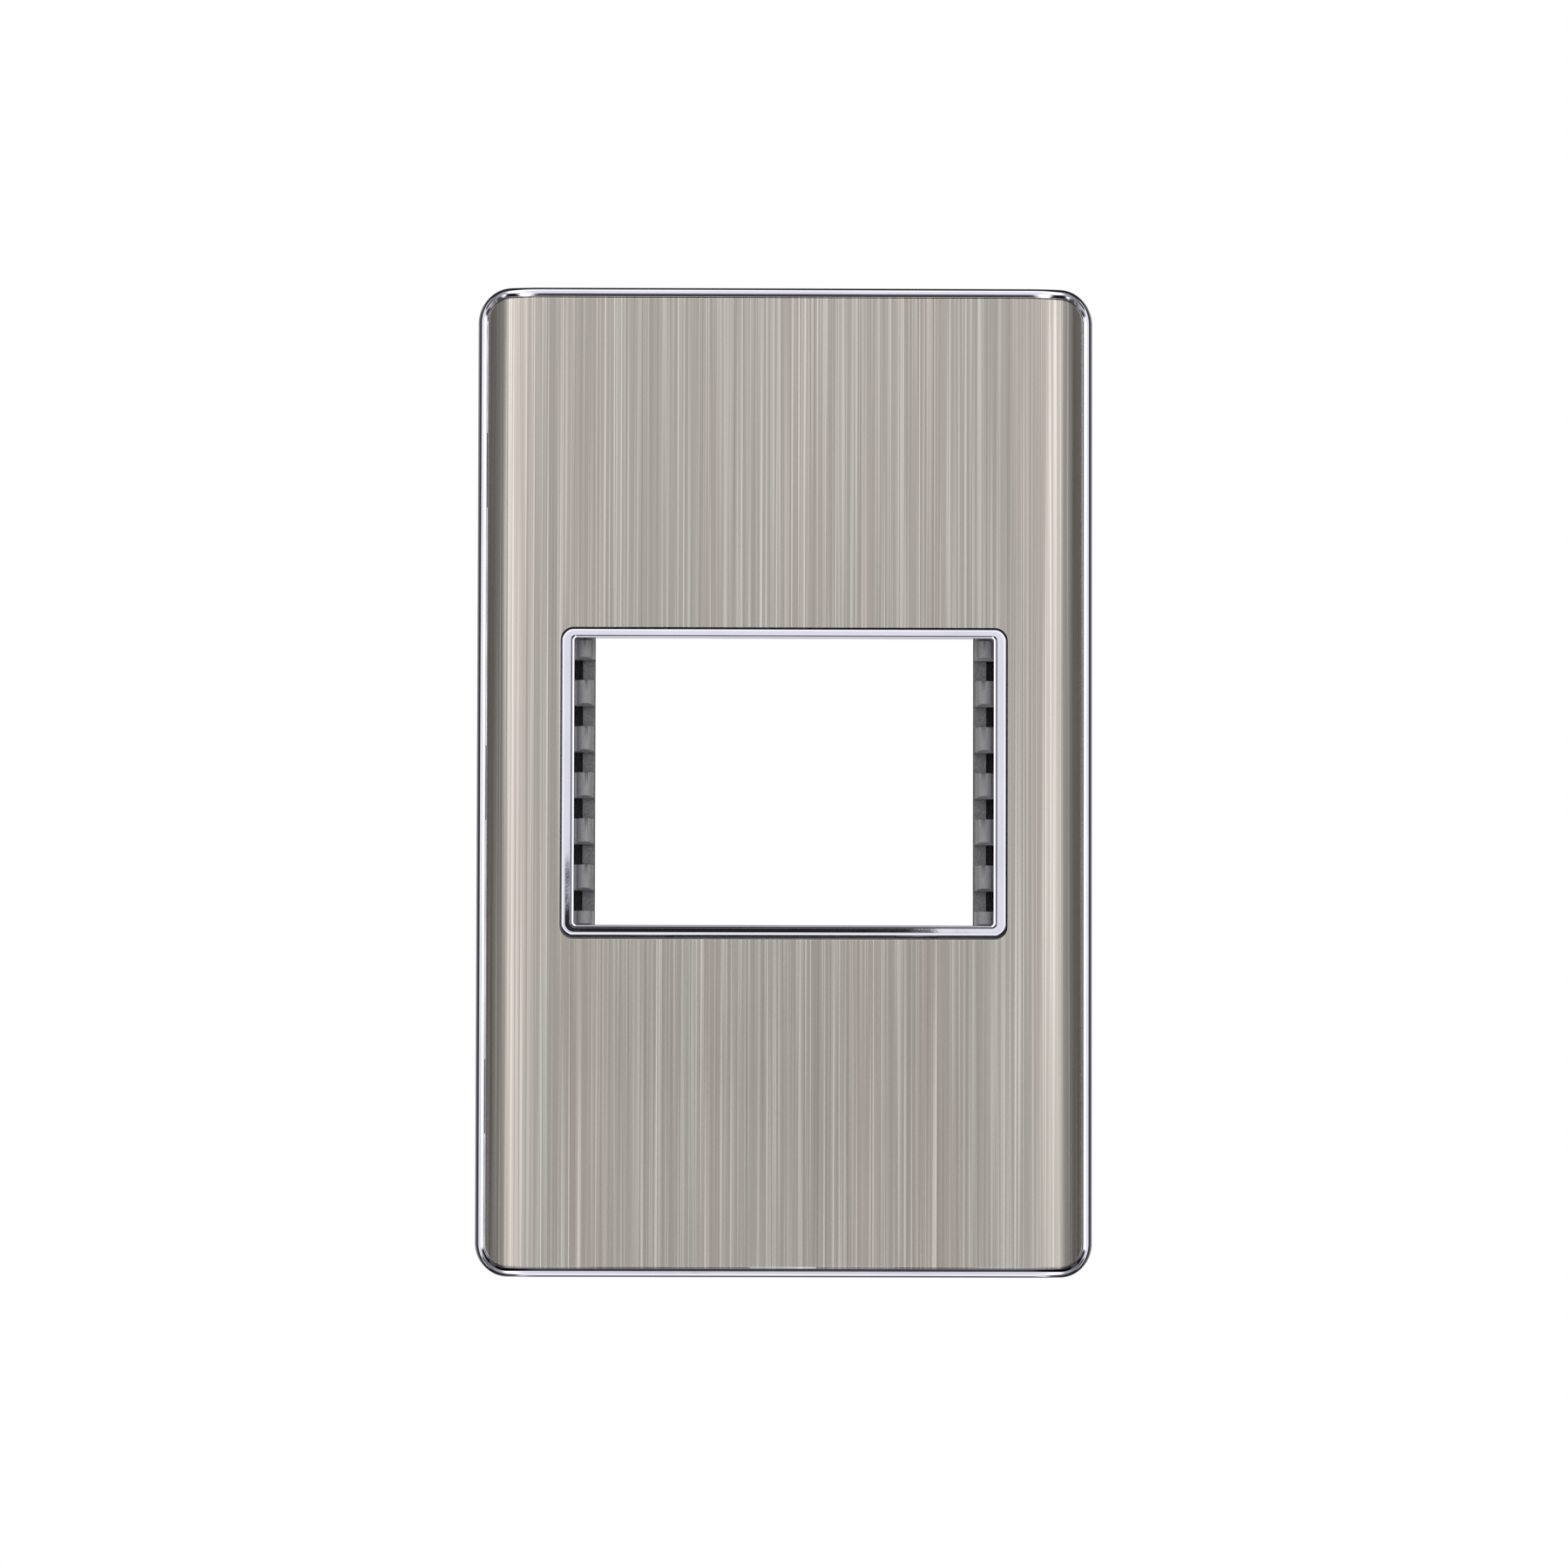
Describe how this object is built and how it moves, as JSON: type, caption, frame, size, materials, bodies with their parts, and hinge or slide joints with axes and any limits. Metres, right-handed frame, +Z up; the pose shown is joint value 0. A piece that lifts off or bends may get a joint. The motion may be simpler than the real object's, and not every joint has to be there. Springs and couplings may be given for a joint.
{
  "type": "switch plate",
  "caption": "Upright screwless wall plate for light switch modules: brushed steel face with rolled sides, bright rim and bezel, wide opening between slotted rails.",
  "frame": {"origin": "middle of the module opening, on the plane of the wall", "axes": "+X to the right seen from the front, +Z up, +Y into the wall; the front faces -Y"},
  "size_m": [0.0744, 0.0093, 0.1192],
  "materials": {
    "brushed_steel": "upright brushed grain",
    "bright_chrome": "mirror bright plating",
    "grey_moulding": "matt moulded, finely eroded texture"
  },
  "bodies": {
    "root": {"face_sheet": "brushed_steel", "rim": "bright_chrome", "bezel": "bright_chrome", "carrier": "grey_moulding"}
  },
  "joints": []
}
